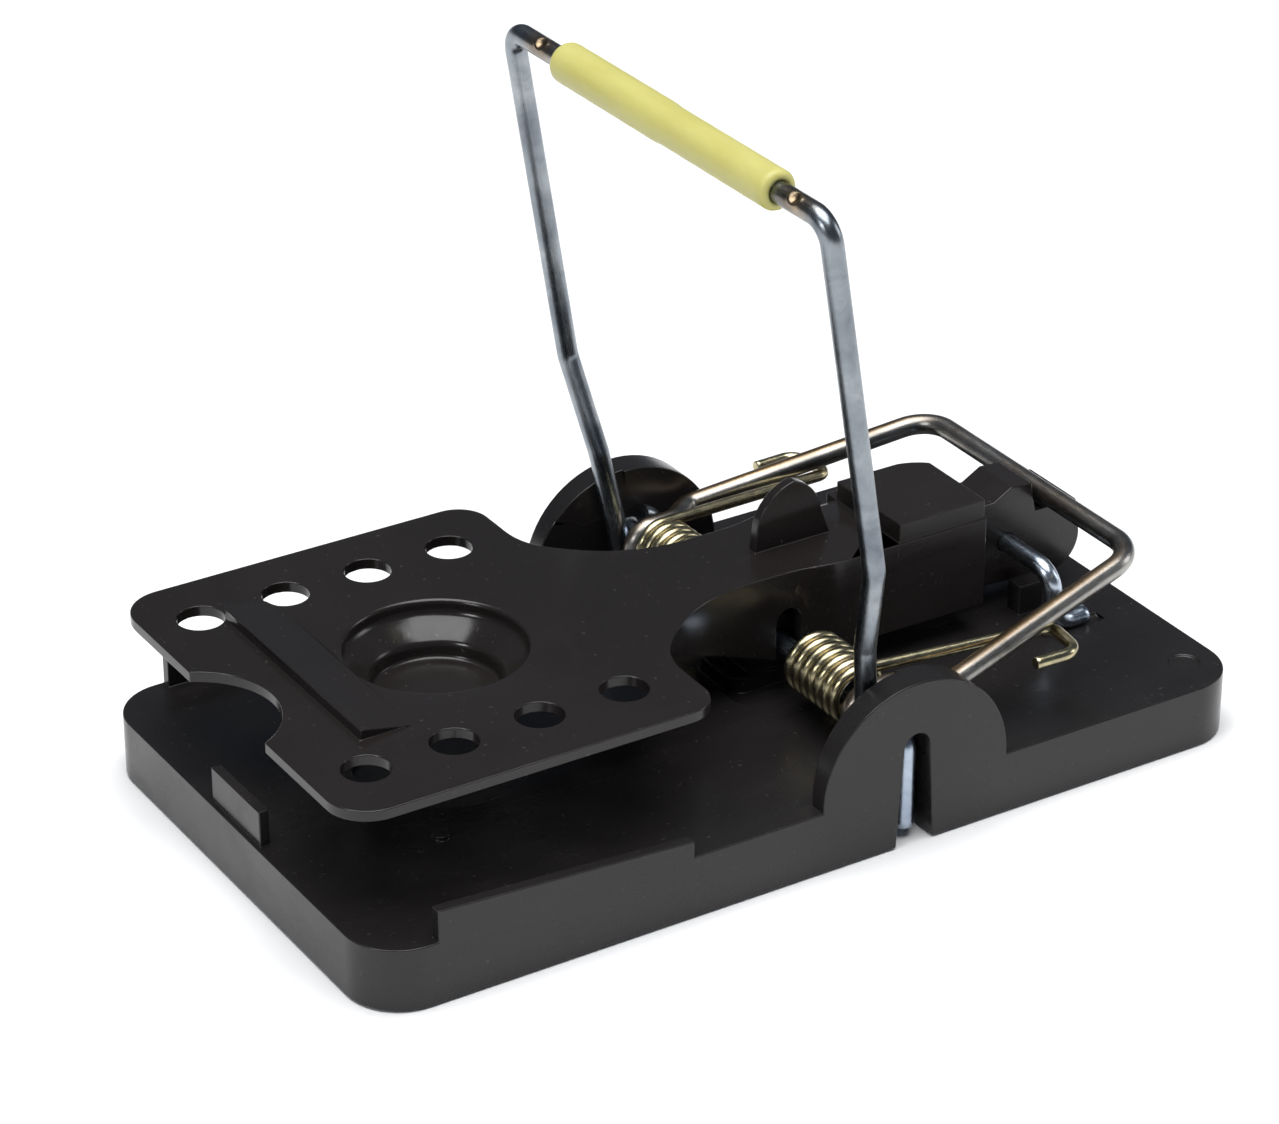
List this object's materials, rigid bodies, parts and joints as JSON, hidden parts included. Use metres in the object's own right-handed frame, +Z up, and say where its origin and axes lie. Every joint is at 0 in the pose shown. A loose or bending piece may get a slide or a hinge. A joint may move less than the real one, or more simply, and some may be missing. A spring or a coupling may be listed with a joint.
{
  "type": "snap mouse trap",
  "caption": "Plastic snap trap in its set pose: wire striker with a loose sleeve, sprung setting lever, baited paddle that tips on a pin, all on a low tray with two rounded ears.",
  "frame": {"origin": "middle of the tray's underside, on the surface the trap rests on", "axes": "+Z up, +X across the trap, +Y towards the setting lever; the striker falls towards -Y, where the bait cup is"},
  "size_m": [0.0604, 0.105, 0.0736],
  "materials": {
    "tray_plastic": "moulded, semi-gloss near-black",
    "paddle_plastic": "moulded, semi-gloss near-black",
    "striker_wire": "bright zinc plate with a blue tint",
    "sleeve_plastic": "translucent pale yellow tube",
    "lever_wire": "zinc plate with a golden tint on the legs",
    "axle_wire": "bright zinc plate",
    "spring_wire": "yellow chromate over zinc"
  },
  "bodies": {
    "tray": {"base": "tray_plastic", "pivot_axle": "axle_wire", "trigger_pin": "axle_wire", "spring_left": "spring_wire", "spring_right": "spring_wire"},
    "striker": {"strike_bar": "striker_wire", "set_lever": "lever_wire"},
    "sleeve": {"bar_sleeve": "sleeve_plastic"},
    "paddle": {"paddle": "paddle_plastic"}
  },
  "joints": [
    {"name": "striker_swing", "type": "hinge", "parent": "tray", "child": "striker", "pos_m": [0, 0.00992, 0.0114], "axis": [1, 0, 0], "range_deg": [0, 76.8], "deforming": ["spring_left", "spring_right"]},
    {"name": "paddle_tilt", "type": "hinge", "parent": "tray", "child": "paddle", "pos_m": [0, 0.04, 0.0143], "axis": [1, 0, 0], "range_deg": [0, 6]},
    {"name": "sleeve_spin", "type": "hinge", "parent": "striker", "child": "sleeve", "pos_m": [0, -0.00206, 0.07137], "axis": [1, 0, 0], "continuous": true}
  ],
  "couplings": [
    {"joint": "paddle_tilt", "follows": "striker_swing", "ratio": 0.078125}
  ]
}
